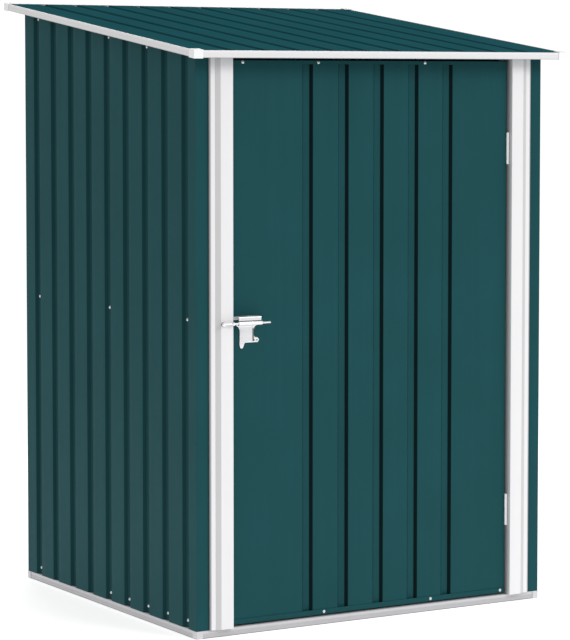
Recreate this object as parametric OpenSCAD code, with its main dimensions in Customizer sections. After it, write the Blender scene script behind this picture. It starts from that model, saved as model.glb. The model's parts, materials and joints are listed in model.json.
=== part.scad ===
// Small metal tool shed with a lean-to roof that rises to the back, a ribbed sheet skin on folded
// rails, and one hinged door with a slide bolt. The door faces -Y and the roof's high edge is at +Y.
// The origin is under the middle of the roof, on the ground.

/* [Overall] */
// Height to the top of the rear roof caps
total_h = 1600; // [1300:10:2100]
// Width over the side walls
body_w = 1045; // [850:5:1600]
// Depth over the front and back walls
body_d = 967; // [600:1:1500]

/* [Roof] */
// Angle of the roof, rising to the back
roof_angle = 7.4; // [4:0.1:12]
// Overhang of the roof past each side wall
side_overhang = 37; // [20:1:80]
// Overhang of the roof past the front wall
front_overhang = 63; // [50:1:120]
// Overhang of the roof past the back wall
back_overhang = 49; // [20:1:120]
// Height of the edge trim
trim_h = 18; // [15:1:30]
// Width of the trim's narrow top lip
trim_lip = 5; // [3:0.5:10]
// Width of the trim's bottom flange
trim_flange = 14; // [8:1:18]
// Spacing of the roof ribs
roof_rib_pitch = 99.2; // [80:0.1:130]
// Width of a roof rib at its mouth
roof_rib_mouth = 24; // [18:0.5:36]
// Least flat sheet beside the outermost roof ribs
roof_rib_margin = 60; // [40:1:90]

/* [Sheet metal] */
// Thickness of the wall, door and roof sheets and of the edge trim
sheet_t = 1; // [0.8:0.1:1.4]
// Thickness of the folded rails
rail_t = 1.2; // [1:0.1:2]
// Depth of the ribs pressed into every sheet
rib_depth = 7; // [4:0.5:8]
// Clearance between neighbouring pieces that don't move
fit = 0.3; // [0.2:0.05:0.5]

/* [Wall ribs] */
// Spacing of the wall ribs
wall_rib_pitch = 105; // [80:1:130]
// Width of a wall rib at its mouth
wall_rib_mouth = 33; // [20:1:40]
// Flat sheet before the first rib of a side wall, from the front corner
side_rib_first = 39; // [36:1:80]
// Least flat sheet beside the outermost ribs of the back wall
corner_flat = 33; // [32:1:80]

/* [Base rails] */
// Height of the base rail's outer face
base_h = 20; // [16:1:40]
// Width of the base rail's bottom flange
base_flange = 26; // [20:1:40]
// Depth of the front rail's top, which is the door sill
sill_depth = 30; // [28:1:40]
// Height above the ground of the upright behind each wall's foot
base_upright = 50; // [40:1:80]

/* [Inner rails] */
// Height above the ground of the rails at the middle of the walls
mid_rail_z = 793; // [600:1:1000]
// Height of the middle rail's fixing leg
mid_rail_h = 26; // [20:1:40]
// Depth of the middle rail's inward leg
mid_rail_depth = 20; // [15:1:30]
// Depth of the top rail's legs below its web
top_rail_leg = 12; // [10:1:30]
// Depth of the roof beam
beam_h = 30; // [20:1:45]
// Width of the roof beam's flange
beam_flange = 25; // [15:1:40]
// Width of each leg of the corner angles
angle_leg = 30; // [20:1:31]

/* [Door frame] */
// Width of the flat front strip between a corner and a jamb
strip_w = 36; // [33:1:60]
// How far the strip runs on behind the jamb
strip_lap = 12; // [6:1:14]
// Width of a jamb from its outer edge to the doorway
jamb_w = 64; // [45:1:90]
// Width of the jamb's flange
jamb_flange = 15; // [12:1:20]
// Width of the slope between the flange and the raised face
jamb_slope = 13.5; // [8:0.5:16]
// How far the jamb's flange stands in front of the wall
jamb_low = 6; // [3:0.5:7]
// How far the jamb's raised face stands in front of the wall
jamb_proud = 12; // [9:0.5:14]
// Width of the stop that the door closes in front of
stop_w = 15; // [10:1:25]

/* [Door] */
// Clearance round the door
door_gap = 5; // [5:0.5:8]
// Clearance between a hinge knuckle and the jamb
knuckle_gap = 0.5; // [0.3:0.1:1]
// How far the door's face lies behind the wall's face
door_inset = 6; // [5:0.5:14]
// Thickness of the door with its frame
door_t = 18; // [15:0.5:20]
// Height of the channel that closes the door's top edge
door_top_h = 9; // [6:1:30]
// Height of the channel that closes the door's bottom edge
door_bottom_h = 13; // [6:1:30]
// Width of the door's stiles
stile_w = 22; // [15:1:40]
// Height of the door's middle brace
brace_h = 30; // [20:1:60]
// Spacing of the door ribs
door_rib_pitch = 106.4; // [80:0.1:130]
// Width of a door rib at its mouth
door_rib_mouth = 32; // [20:1:40]
// Least flat sheet beside the outermost door ribs
door_rib_margin = 150; // [60:1:160]
// How far the group of door ribs lies from the door's middle, towards the hinges
door_rib_shift = 16.5; // [0:0.5:40]

/* [Hinges] */
// Height of a hinge
hinge_h = 83; // [50:1:120]
// Height above the ground of the lower hinge's middle
hinge_low_z = 248; // [150:1:350]
// Height above the ground of the upper hinge's middle
hinge_high_z = 1207; // [900:1:1250]
// Radius of a hinge knuckle
knuckle_r = 3; // [2.5:0.1:3.2]
// Radius of a hinge pin
pin_r = 1.6; // [1.2:0.1:1.8]
// Clearance round a hinge pin
pin_fit = 0.05; // [0.02:0.01:0.1]
// Thickness of a hinge leaf
leaf_t = 1.2; // [1:0.1:1.6]

/* [Slide bolt] */
// Height above the ground of the bolt
bolt_z = 784; // [700:1:900]
// Radius of the bolt's rod
rod_r = 2.75; // [2:0.05:4]
// Clearance round the rod in its barrel
rod_fit = 0.1; // [0.05:0.01:0.2]
// Length of the rod
rod_l = 134; // [115:1:180]
// Radius of the ball at the rod's end
ball_r = 6.5; // [4:0.1:9]
// Clearance between the ball and the jamb
ball_gap = 3; // [3:0.5:8]
// How far the bolt slides
bolt_travel = 10; // [5:1:12]
// Length of the barrel
barrel_l = 70; // [50:1:80]
// Outer radius of the barrel
barrel_r = 5.5; // [4.5:0.1:8]
// Width of the latch plate
plate_w = 45; // [30:1:60]
// Thickness of the latch plate
plate_t = 2; // [1:0.1:3]
// How far the latch plate reaches below the bolt
plate_drop = 46; // [30:1:60]
// Distance from the door's edge to the latch plate
plate_edge = 22; // [15:1:40]

/* [Plastic caps] */
// Wall thickness of the plastic corner caps
cap_t = 1.5; // [1:0.1:3]
// Length of each side of a roof cap
roof_cap_leg = 24; // [16:1:40]
// How far a roof cap reaches below the trim
cap_low = 1.5; // [0.5:0.5:4]
// Length of each side of a base cap
base_cap_leg = 17; // [12:1:40]
// Radius of the base cap's outer corner
base_cap_r = 4; // [3:0.5:8]

/* [Hidden] */

// Colours of the pieces
green = [0.15, 0.31, 0.33];
white = [0.93, 0.93, 0.92];
pale_grey = [0.80, 0.80, 0.81];
zinc = [0.72, 0.73, 0.74];

// The roof's own frame starts at the top of the front trim. Its second axis climbs the slope.
roof_w = body_w + 2 * side_overhang;
roof_l = (body_d + front_overhang + back_overhang) / cos(roof_angle);
cap_out = fit + cap_t;
roof_z0 = total_h - (roof_l + cap_out) * sin(roof_angle) - cap_out * cos(roof_angle);
roof_y0 = -(roof_l * cos(roof_angle) + (trim_h + cap_low - cap_out) * sin(roof_angle)) / 2;

// Layers of the roof, as depths below the top of the trim
sheet_top = sheet_t + fit;
sheet_zone = rib_depth + sheet_t;
rail_top = sheet_top + sheet_zone + fit;
wall_top = rail_top + rail_t + fit;
beam_top = rail_top;

// Planes of the four walls
x_side = body_w / 2;
y_front = roof_y0 + front_overhang;
y_back = y_front + body_d;
inner_face = sheet_zone + fit;

// Top of the level channel over the back wall, where its inner leg meets the roof
back_web_z = roof_z0 + (y_back - inner_face - rail_t - roof_y0) * tan(roof_angle)
    - rail_top / cos(roof_angle);

wall_foot = base_h + fit;
wall_end = sheet_t + fit;

// Doorway and door
opening_w = body_w - 2 * (strip_w + jamb_w);
door_x0 = -opening_w / 2 + door_gap;
door_x1 = opening_w / 2 - door_gap;
door_w = door_x1 - door_x0;
door_z0 = base_h + door_gap;
door_z1 = roof_z0 - trim_h * cos(roof_angle) - door_gap;
door_y = y_front + door_inset;
door_sheet_y = door_y + sheet_t + fit;
door_inner_y = door_sheet_y + inner_face;
door_back_y = door_y + door_t;
stop_y = door_back_y + door_gap;

// Hinges
pin_x = opening_w / 2 - knuckle_gap - knuckle_r;
pin_y = door_y - knuckle_r - fit;
leaf_y = pin_y + knuckle_r + 0.5;
leaf_l = door_back_y - leaf_y - 1;
knuckle_l = hinge_h / 3;

// Slide bolt
rod_y = y_front - jamb_proud - ball_gap - ball_r;
plate_x0 = door_x0 + plate_edge;
barrel_x0 = plate_x0 - (barrel_l - plate_w) * 0.75;
collar_r = rod_r + 2.2;
collar_l = 9;
collar_x = barrel_x0 - bolt_travel - 1 - collar_l;
rod_x0 = collar_x - 22;

// Larger than the whole shed, for cutting
big = 6000;

// The edge of a ribbed sheet: four points for each rib, lowered by drop
function rib_edge(starts, mouth, drop) = [
    for (s = starts) each [
        [s, -drop],
        [s + rib_depth, -rib_depth - drop],
        [s + mouth - rib_depth, -rib_depth - drop],
        [s + mouth, -drop]
    ]
];

function reversed(v) = [for (i = [len(v) - 1 : -1 : 0]) v[i]];

// As many ribs as fit between two equal margins
function rib_count(width, margin, pitch, mouth) = floor((width - 2 * margin - mouth) / pitch) + 1;

// Where those ribs start when they are centred
function centred_ribs(width, margin, pitch, mouth) =
    let (n = rib_count(width, margin, pitch, mouth), first = (width - (n - 1) * pitch - mouth) / 2)
    [for (i = [0 : n - 1]) first + i * pitch];

// A sheet whose outer face is the plane Y = 0 and whose ribs are pressed towards -Y
module ribbed_sheet(width, height, starts, mouth) {
    linear_extrude(height)
        polygon(concat(
            [[0, 0]],
            rib_edge(starts, mouth, 0),
            [[width, 0], [width, -sheet_t]],
            reversed(rib_edge(starts, mouth, sheet_t)),
            [[0, -sheet_t]]
        ));
}

// A strip of thickness t folded along square corners, centred on the path
module folded(path, t) {
    for (i = [0 : len(path) - 2]) {
        a = path[i];
        b = path[i + 1];
        translate([min(a.x, b.x) - t / 2, min(a.y, b.y) - t / 2])
            square([abs(a.x - b.x) + t, abs(a.y - b.y) + t]);
    }
}

// Puts its children in the roof's frame
module on_roof() {
    translate([0, roof_y0, roof_z0]) rotate([roof_angle, 0, 0]) children();
}

// Cuts away what reaches above a depth below the top of the trim
module under_roof(depth) {
    difference() {
        children();
        on_roof() translate([-big / 2, -big / 2, -depth]) cube([big, big, big]);
    }
}

// Cuts away what reaches above the back wall's top edge
module under_back_web() {
    difference() {
        children();
        translate([-big / 2, -big / 2, back_web_z - rail_t - fit]) cube([big, big, big]);
    }
}

// A profile drawn as (distance in from the outer face, height), run along a left side
module left_run(y0, y1) {
    translate([0, y1, 0]) rotate([90, 0, 0]) linear_extrude(y1 - y0) children();
}

// The same along the front, with the outer face towards -Y
module front_run(x0, x1) {
    translate([x0, 0, 0]) rotate([90, 0, 90]) linear_extrude(x1 - x0) children();
}

// Footprint of one mitred side: a trapezium between two corners, with half a fit at each mitre
module mitre(length, band, depth0, depth1) {
    g = fit * 0.7;
    intersection() {
        children();
        translate([0, 0, depth0]) linear_extrude(depth1 - depth0)
            polygon([[-1, g - 1], [band, band + g], [band, length - band - g], [-1, length + 1 - g]]);
    }
}

// ---- Base rails

module base_profile() {
    h = rail_t / 2;
    folded([
        [base_flange - h, h],
        [h, h],
        [h, base_h - h],
        [inner_face + h, base_h - h],
        [inner_face + h, base_upright - h]
    ], rail_t);
}

module sill_profile() {
    h = rail_t / 2;
    folded([
        [base_flange - h, h],
        [h, h],
        [h, base_h - h],
        [sill_depth - h, base_h - h],
        [sill_depth - h, base_h - 10]
    ], rail_t);
}

// A mitred rail along a left side of the given length, from the origin
module base_side(length) {
    mitre(length, sill_depth + 5, 0, base_upright) left_run(0, length) base_profile();
}

module base_rail_left() {
    color(pale_grey) translate([-x_side, y_front, 0]) base_side(body_d);
}

module base_rail_right() {
    color(pale_grey) mirror([1, 0, 0]) translate([-x_side, y_front, 0]) base_side(body_d);
}

module base_rail_back() {
    color(pale_grey) translate([-x_side, y_back, 0]) rotate([0, 0, -90]) base_side(body_w);
}

module base_rail_front() {
    color(pale_grey)
        translate([x_side, y_front, 0]) rotate([0, 0, 90])
            mitre(body_w, sill_depth + 5, 0, base_upright) left_run(0, body_w) sill_profile();
}

module base_cap() {
    leg = base_cap_leg + cap_out;
    linear_extrude(base_h)
        difference() {
            union() {
                translate([base_cap_r, 0]) square([leg - base_cap_r, leg]);
                translate([0, base_cap_r]) square([leg, leg - base_cap_r]);
                translate([base_cap_r, base_cap_r]) circle(base_cap_r, $fn = 48);
            }
            translate([cap_t, cap_t]) square(leg);
        }
}

module base_corner_caps() {
    color(white)
        for (sx = [0, 1], back = [0, 1])
            mirror([sx, 0, 0])
                translate([-x_side - cap_out, back ? y_back + cap_out : y_front - cap_out, 0])
                    mirror([0, back, 0]) base_cap();
}

// ---- Walls

side_wall_l = body_d - 2 * wall_end;
side_rib_starts = [
    for (s = [side_rib_first : wall_rib_pitch : body_d - corner_flat - wall_rib_mouth]) s - wall_end
];

module side_wall() {
    under_roof(wall_top)
        translate([-x_side, y_front + wall_end, wall_foot]) rotate([0, 0, 90])
            ribbed_sheet(side_wall_l, total_h, side_rib_starts, wall_rib_mouth);
}

module left_wall() {
    color(green) side_wall();
}

module right_wall() {
    color(green) mirror([1, 0, 0]) side_wall();
}

module back_wall() {
    starts = centred_ribs(body_w, corner_flat, wall_rib_pitch, wall_rib_mouth);
    color(green)
        under_back_web()
            translate([-x_side, y_back, wall_foot])
                ribbed_sheet(body_w, total_h, starts, wall_rib_mouth);
}

// Flat strip beside the doorway, with a leg lapped inside the side wall
module front_strip() {
    front_l = strip_w + strip_lap;
    under_roof(wall_top)
        translate([-x_side, y_front, wall_foot])
            linear_extrude(total_h) {
                square([front_l, sheet_t]);
                translate([wall_end, 0]) square([sheet_t, sheet_t + angle_leg]);
            }
}

module front_strip_left() {
    color(green) front_strip();
}

module front_strip_right() {
    color(green) mirror([1, 0, 0]) front_strip();
}

module back_corner_angles() {
    color(zinc)
        for (sx = [0, 1])
            mirror([sx, 0, 0])
                under_back_web() under_roof(wall_top)
                    translate([-x_side + wall_end, y_back - wall_end - angle_leg, wall_foot])
                        linear_extrude(total_h) {
                            square([sheet_t, angle_leg]);
                            translate([0, angle_leg - sheet_t]) square([angle_leg, sheet_t]);
                        }
}

// ---- Door frame

// Folded jamb: lip on the strip, flange, slope, raised face, return and stop
module jamb() {
    face_u = jamb_flange + jamb_slope;
    bend = sheet_t * tan(atan2(jamb_proud - jamb_low, jamb_slope) / 2);
    stop_v = y_front - stop_y;
    under_roof(rail_top)
        translate([-x_side + strip_w, y_front, wall_foot]) mirror([0, 1, 0])
            linear_extrude(total_h)
                polygon([
                    [0, fit],
                    [0, jamb_low],
                    [jamb_flange, jamb_low],
                    [face_u, jamb_proud],
                    [jamb_w, jamb_proud],
                    [jamb_w, stop_v],
                    [jamb_w + stop_w, stop_v],
                    [jamb_w + stop_w, stop_v - sheet_t],
                    [jamb_w - sheet_t, stop_v - sheet_t],
                    [jamb_w - sheet_t, jamb_proud - sheet_t],
                    [face_u + bend, jamb_proud - sheet_t],
                    [jamb_flange + bend, jamb_low - sheet_t],
                    [sheet_t, jamb_low - sheet_t],
                    [sheet_t, fit]
                ]);
}

module jamb_left() {
    color(white) jamb();
}

module jamb_right() {
    color(white) mirror([1, 0, 0]) jamb();
}

// Angle over the doorway, between the jambs and in line with the door
module door_header() {
    z0 = door_z1 + door_gap;
    h = rail_t / 2;
    half_w = opening_w / 2 - fit;
    color(green)
        under_roof(rail_top)
            translate([0, door_y, z0]) front_run(-half_w, half_w)
                folded([[h, total_h], [h, h], [door_t - h, h]], rail_t);
}

// ---- Rails under the roof and inside the walls

// Channel turned down over the top edge of a wall
module top_channel_profile() {
    h = rail_t / 2;
    folded([
        [-fit - h, -rail_top - top_rail_leg],
        [-fit - h, -rail_top - h],
        [inner_face + h, -rail_top - h],
        [inner_face + h, -rail_top - top_rail_leg]
    ], rail_t);
}

module top_rail_side() {
    v0 = (front_overhang + wall_end) / cos(roof_angle) + rail_top * sin(roof_angle);
    v1 = (front_overhang + body_d - wall_end) / cos(roof_angle) - wall_top;
    on_roof() translate([-x_side, 0, 0]) left_run(v0, v1) top_channel_profile();
}

module top_rail_left() {
    color(green) top_rail_side();
}

module top_rail_right() {
    color(green) mirror([1, 0, 0]) top_rail_side();
}

module top_rail_back() {
    half_w = x_side - inner_face - rail_t - fit;
    color(green)
        translate([0, y_back, back_web_z + rail_top]) mirror([0, 1, 0])
            front_run(-half_w, half_w) top_channel_profile();
}

module mid_profile() {
    h = rail_t / 2;
    folded([
        [inner_face + h, mid_rail_z + mid_rail_h / 2],
        [inner_face + h, mid_rail_z - mid_rail_h / 2],
        [inner_face + mid_rail_depth - h, mid_rail_z - mid_rail_h / 2]
    ], rail_t);
}

module mid_rail_side() {
    y_out = wall_end + fit;
    translate([-x_side, 0, 0]) left_run(y_front + y_out, y_back - y_out - sheet_zone) mid_profile();
}

module mid_rail_left() {
    color(zinc) mid_rail_side();
}

module mid_rail_right() {
    color(zinc) mirror([1, 0, 0]) mid_rail_side();
}

module mid_rail_back() {
    half_w = x_side - inner_face - mid_rail_depth - rail_t - fit;
    color(zinc)
        translate([0, y_back, 0]) mirror([0, 1, 0]) front_run(-half_w, half_w) mid_profile();
}

// Beam across the middle of the roof, between the side walls
module roof_beam() {
    h = rail_t / 2;
    half_w = x_side - inner_face - rail_t - fit;
    color(zinc)
        on_roof() translate([0, roof_l / 2, -beam_top]) front_run(-half_w, half_w)
            folded([
                [beam_flange, -h],
                [0, -h],
                [0, -beam_h + h],
                [beam_flange, -beam_h + h]
            ], rail_t);
}

// ---- Roof

module roof_sheet() {
    inset = sheet_t + fit;
    width = roof_w - 2 * inset;
    starts = centred_ribs(width, roof_rib_margin, roof_rib_pitch, roof_rib_mouth);
    color(green)
        on_roof() translate([-width / 2, roof_l - inset, -sheet_top]) rotate([90, 0, 0])
            ribbed_sheet(width, roof_l - 2 * inset, starts, roof_rib_mouth);
}

module trim_profile() {
    h = sheet_t / 2;
    folded([
        [trim_flange - h, -trim_h + h],
        [h, -trim_h + h],
        [h, -h],
        [trim_lip - h, -h]
    ], sheet_t);
}

// A mitred trim along a left side of the given length, from the origin
module trim_side(length) {
    mitre(length, trim_flange + 5, -trim_h, 0) left_run(0, length) trim_profile();
}

module roof_trim_left() {
    color(white) on_roof() translate([-roof_w / 2, 0, 0]) trim_side(roof_l);
}

module roof_trim_right() {
    color(white) mirror([1, 0, 0]) on_roof() translate([-roof_w / 2, 0, 0]) trim_side(roof_l);
}

module roof_trim_front() {
    color(white) on_roof() translate([roof_w / 2, 0, 0]) rotate([0, 0, 90]) trim_side(roof_w);
}

module roof_trim_back() {
    color(white) on_roof() translate([-roof_w / 2, roof_l, 0]) rotate([0, 0, -90]) trim_side(roof_w);
}

module roof_cap() {
    outer = roof_cap_leg + cap_out;
    height = trim_h + cap_low + cap_out;
    difference() {
        translate([-cap_out, -cap_out, -trim_h - cap_low]) cube([outer, outer, height]);
        translate([-fit, -fit, -trim_h - cap_low - 1]) cube([outer, outer, trim_h + cap_low + 1 + fit]);
    }
}

module roof_corner_caps() {
    color(white)
        for (sx = [0, 1], back = [0, 1])
            mirror([sx, 0, 0])
                on_roof() translate([-roof_w / 2, back ? roof_l : 0, 0]) mirror([0, back, 0]) roof_cap();
}

// ---- Door

module door_sheet() {
    starts = [
        for (s = centred_ribs(door_w, door_rib_margin, door_rib_pitch, door_rib_mouth))
            s + door_rib_shift
    ];
    edge = sheet_t + fit;
    color(green)
        translate([door_x0, door_sheet_y, door_z0 + edge]) mirror([0, 1, 0])
            ribbed_sheet(door_w, door_z1 - door_z0 - 2 * edge, starts, door_rib_mouth);
}

// Channel of a given height closing an edge of the door, drawn for the bottom edge
module door_channel(height) {
    h = sheet_t / 2;
    inner = sheet_t + fit + inner_face + h;
    front_run(door_x0, door_x1)
        folded([[h, height - h], [h, h], [inner, h], [inner, height - h]], sheet_t);
}

module door_top_channel() {
    color(green) translate([0, door_y, door_z1]) mirror([0, 0, 1]) door_channel(door_top_h);
}

module door_bottom_channel() {
    color(green) translate([0, door_y, door_z0]) door_channel(door_bottom_h);
}

stile_z0 = door_z0 + door_bottom_h + fit;
stile_z1 = door_z1 - door_top_h - fit;

// Channel behind the flat edge of the sheet, open towards the door's middle
module stile() {
    h = rail_t / 2;
    front_y = sheet_t + fit + h;
    back_y = door_back_y - door_sheet_y - h;
    translate([0, door_sheet_y, stile_z0]) linear_extrude(stile_z1 - stile_z0)
        folded([[stile_w, front_y], [h, front_y], [h, back_y], [stile_w, back_y]], rail_t);
}

module door_stile_left() {
    color(zinc) translate([door_x0, 0, 0]) stile();
}

module door_stile_right() {
    color(zinc) translate([door_x1, 0, 0]) mirror([1, 0, 0]) stile();
}

module door_brace() {
    h = rail_t / 2;
    end = stile_w + rail_t / 2 + fit;
    depth = door_back_y - door_inner_y - h;
    color(zinc)
        translate([0, door_inner_y, bolt_z - brace_h / 2]) front_run(door_x0 + end, door_x1 - end)
            folded([[depth, h], [h, h], [h, brace_h - h], [depth, brace_h - h]], rail_t);
}

// ---- Hinges

module at_hinges() {
    for (z = [hinge_low_z, hinge_high_z]) translate([pin_x, pin_y, z - hinge_h / 2]) children();
}

// Leaf on the jamb's return, with the outer knuckles and the pin
module hinge_frame_leaves() {
    leaf_x = opening_w / 2 - leaf_t - pin_x;
    color(white)
        at_hinges() {
            translate([leaf_x, leaf_y - pin_y, 0]) cube([leaf_t, leaf_l, hinge_h]);
            for (z = [0, 2 * knuckle_l]) {
                translate([0, 0, z]) cylinder(r = knuckle_r, h = knuckle_l, $fn = 48);
                translate([leaf_x, 0, z]) cube([leaf_t, leaf_y - pin_y + leaf_t, knuckle_l]);
            }
            cylinder(r = pin_r, h = hinge_h, $fn = 48);
        }
}

// Leaf on the door's edge, with the middle knuckle bored for the pin
module hinge_door_leaves() {
    leaf_x = door_x1 - pin_x;
    z0 = knuckle_l + fit;
    length = knuckle_l - 2 * fit;
    color(white)
        at_hinges() difference() {
            union() {
                translate([leaf_x, leaf_y - pin_y, 0]) cube([leaf_t, leaf_l, hinge_h]);
                translate([0, 0, z0]) cylinder(r = knuckle_r, h = length, $fn = 48);
                translate([leaf_x, 0, z0]) cube([leaf_t, leaf_y - pin_y + leaf_t, length]);
            }
            translate([0, 0, -1]) cylinder(r = pin_r + pin_fit, h = hinge_h + 2, $fn = 48);
        }
}

// ---- Slide bolt

// Plate on the door's face, with the hood and the barrel that carry the rod
module latch_plate() {
    stand = door_sheet_y - rod_y;
    tongue_w = 15;
    tongue_drop = 16;
    lobe_w = 14;
    lobe_h = 16;
    hood_h = 8;
    web_h = 6;
    color(white)
        difference() {
            translate([0, door_sheet_y, bolt_z]) union() {
                translate([plate_x0, -plate_t, -plate_drop]) cube([plate_w, plate_t, plate_drop + 14]);
                translate([plate_x0, -plate_t, -plate_drop - tongue_drop])
                    cube([tongue_w, plate_t, tongue_drop + 1]);
                translate([plate_x0 + plate_w - 1, -plate_t, -plate_drop])
                    cube([lobe_w + 1, plate_t, lobe_h]);
                translate([plate_x0, -stand, -web_h / 2]) cube([plate_w, stand, web_h]);
                translate([barrel_x0, -stand - barrel_r, barrel_r - 1])
                    cube([barrel_l - 6, stand + barrel_r - plate_t, hood_h]);
                translate([barrel_x0, -stand, 0]) rotate([0, 90, 0])
                    cylinder(r = barrel_r, h = barrel_l, $fn = 64);
            }
            translate([barrel_x0 - 1, rod_y, bolt_z]) rotate([0, 90, 0])
                cylinder(r = rod_r + rod_fit, h = barrel_l + 2, $fn = 64);
        }
}

// Half outline of the bolt from the ball's pole, as (radius, distance along the rod)
function bolt_outline() =
    let (neck = 180 - asin(rod_r / ball_r), steps = 14, collar = collar_x - rod_x0, chamfer = 0.8)
    concat(
        [for (i = [0 : steps]) ball_r * [sin(neck * i / steps), -cos(neck * i / steps)]],
        [
            [rod_r, collar],
            [collar_r, collar + collar_l - 1],
            [collar_r, collar + collar_l],
            [rod_r, collar + collar_l],
            [rod_r, rod_l - chamfer],
            [rod_r - chamfer, rod_l],
            [0, rod_l]
        ]
    );

// Rod with a ball at the jamb end and a flared collar before the barrel
module slide_bolt() {
    color(white)
        translate([rod_x0, rod_y, bolt_z]) rotate([0, 90, 0])
            rotate_extrude($fn = 64) polygon(bolt_outline());
}

base_rail_front();
base_rail_back();
base_rail_left();
base_rail_right();
base_corner_caps();
left_wall();
right_wall();
back_wall();
front_strip_left();
front_strip_right();
back_corner_angles();
jamb_left();
jamb_right();
door_header();
top_rail_left();
top_rail_right();
top_rail_back();
mid_rail_left();
mid_rail_right();
mid_rail_back();
roof_beam();
roof_sheet();
roof_trim_front();
roof_trim_back();
roof_trim_left();
roof_trim_right();
roof_corner_caps();
hinge_frame_leaves();
door_sheet();
door_top_channel();
door_bottom_channel();
door_stile_left();
door_stile_right();
door_brace();
hinge_door_leaves();
latch_plate();
slide_bolt();
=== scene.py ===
# %% [markdown]
# # A small metal tool shed
#
# The shed is folded sheet steel: ribbed skins on thin rails, white trim, plastic corner caps and one
# hinged door with a slide bolt. The engineering model gives every place and size. This lesson dresses
# it: bends get their real radius, screws go in, and each finish gets a material built from nodes.

# %% Load the frame
import json
import math

import bmesh
import bpy
from mathutils import Matrix, Vector, noise


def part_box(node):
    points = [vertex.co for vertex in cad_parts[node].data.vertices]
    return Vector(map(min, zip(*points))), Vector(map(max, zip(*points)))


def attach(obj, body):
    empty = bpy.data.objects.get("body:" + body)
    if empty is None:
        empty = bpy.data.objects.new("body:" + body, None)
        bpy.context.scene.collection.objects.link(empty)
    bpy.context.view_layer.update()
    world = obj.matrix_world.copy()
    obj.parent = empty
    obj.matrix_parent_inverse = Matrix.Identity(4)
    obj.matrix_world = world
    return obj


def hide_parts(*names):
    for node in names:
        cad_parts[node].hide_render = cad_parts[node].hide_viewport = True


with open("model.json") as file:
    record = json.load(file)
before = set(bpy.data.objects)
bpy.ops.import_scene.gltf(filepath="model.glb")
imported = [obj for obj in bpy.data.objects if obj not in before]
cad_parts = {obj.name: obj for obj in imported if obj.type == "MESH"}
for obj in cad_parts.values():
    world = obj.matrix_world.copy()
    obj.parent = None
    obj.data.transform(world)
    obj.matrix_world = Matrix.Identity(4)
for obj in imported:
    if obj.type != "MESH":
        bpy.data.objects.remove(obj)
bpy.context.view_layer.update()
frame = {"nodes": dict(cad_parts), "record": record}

nodes = frame["nodes"]
MM = 0.001

# %% [markdown]
# ## The camera
#
# A product picture of a tall thing is taken from far off with a long lens, so that its verticals stay
# upright. Here the camera stands nearly seven metres away at eye level, turned towards the door's
# left corner. A small downward shift of the lens does the rest, and a slight tilt does what the shift
# leaves, because a large shift would push the shed out of the frame in any other view.

# %% Camera
CAMERA_PLACE = Vector((-3.6794, -6.1697, 1.3842))
CAMERA_YAW = math.radians(30.944)
CAMERA_PITCH = math.radians(3.777)
CAMERA_LENS = 149.22
CAMERA_SHIFT = -0.10

camera_data = bpy.data.cameras.new("studio_camera")
camera_data.lens = CAMERA_LENS
camera_data.shift_y = CAMERA_SHIFT
camera = bpy.data.objects.new("studio_camera", camera_data)
bpy.context.scene.collection.objects.link(camera)
camera.location = CAMERA_PLACE
camera.rotation_euler = (math.pi / 2 - CAMERA_PITCH, 0, -CAMERA_YAW)
bpy.context.scene.camera = camera
print("camera to shed", round(CAMERA_PLACE.length, 2), "m")

# %% [markdown]
# ## The floor
#
# The floor is a wide pale disc that fades into the white surroundings, so no horizon shows. A round
# mesh with a gradient in its alpha does that without a curved backdrop, which would hide the back
# views. It glows a little, like a light table, so that it stays near white and keeps only the
# soft shadow under the shed.

# %% Floor
FLOOR_RADIUS = 9.0
FLOOR_FADE = (1.6, 5.5)
FLOOR_GLOW = 0.54
FLOOR_WHITE = 0.94

floor_mesh = bpy.data.meshes.new("studio_floor")
floor_shape = bmesh.new()
bmesh.ops.create_circle(floor_shape, cap_ends=True, radius=FLOOR_RADIUS, segments=96)
floor_shape.to_mesh(floor_mesh)
floor_shape.free()
floor = bpy.data.objects.new("studio_floor", floor_mesh)
bpy.context.scene.collection.objects.link(floor)

floor_paint = bpy.data.materials.new("floor_paint")
floor_paint.use_nodes = True
tree = floor_paint.node_tree
shader = tree.nodes["Principled BSDF"]
shader.inputs["Base Color"].default_value = (FLOOR_WHITE, FLOOR_WHITE, FLOOR_WHITE, 1)
shader.inputs["Roughness"].default_value = 0.75
shader.inputs["Specular IOR Level"].default_value = 0.2
shader.inputs["Emission Color"].default_value = (1, 1, 1, 1)
shader.inputs["Emission Strength"].default_value = FLOOR_GLOW
place = tree.nodes.new("ShaderNodeTexCoord")
distance = tree.nodes.new("ShaderNodeVectorMath")
distance.operation = "LENGTH"
fade = tree.nodes.new("ShaderNodeMapRange")
fade.interpolation_type = "SMOOTHSTEP"
fade.inputs["From Min"].default_value = FLOOR_FADE[0]
fade.inputs["From Max"].default_value = FLOOR_FADE[1]
fade.inputs["To Min"].default_value = 1.0
fade.inputs["To Max"].default_value = 0.0
tree.links.new(place.outputs["Object"], distance.inputs[0])
tree.links.new(distance.outputs["Value"], fade.inputs["Value"])
tree.links.new(fade.outputs["Result"], shader.inputs["Alpha"])
floor_mesh.materials.append(floor_paint)
print("floor", 2 * FLOOR_RADIUS, "m across")

# %% [markdown]
# ## The light
#
# One bright sky gives the soft fill. Large lamps do the modelling: a key in front and to the right
# makes the front brighter than the left side, and a weak one behind keeps the back readable. The
# surroundings show whiter to the camera than they shine, which a Light Path node allows: the picture
# gets its white ground, and the paint isn't washed out.

# %% Light
SKY = 0.68
BACKGROUND = 1.05
SHED_MIDDLE = (0, 0, 0.8)

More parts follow.
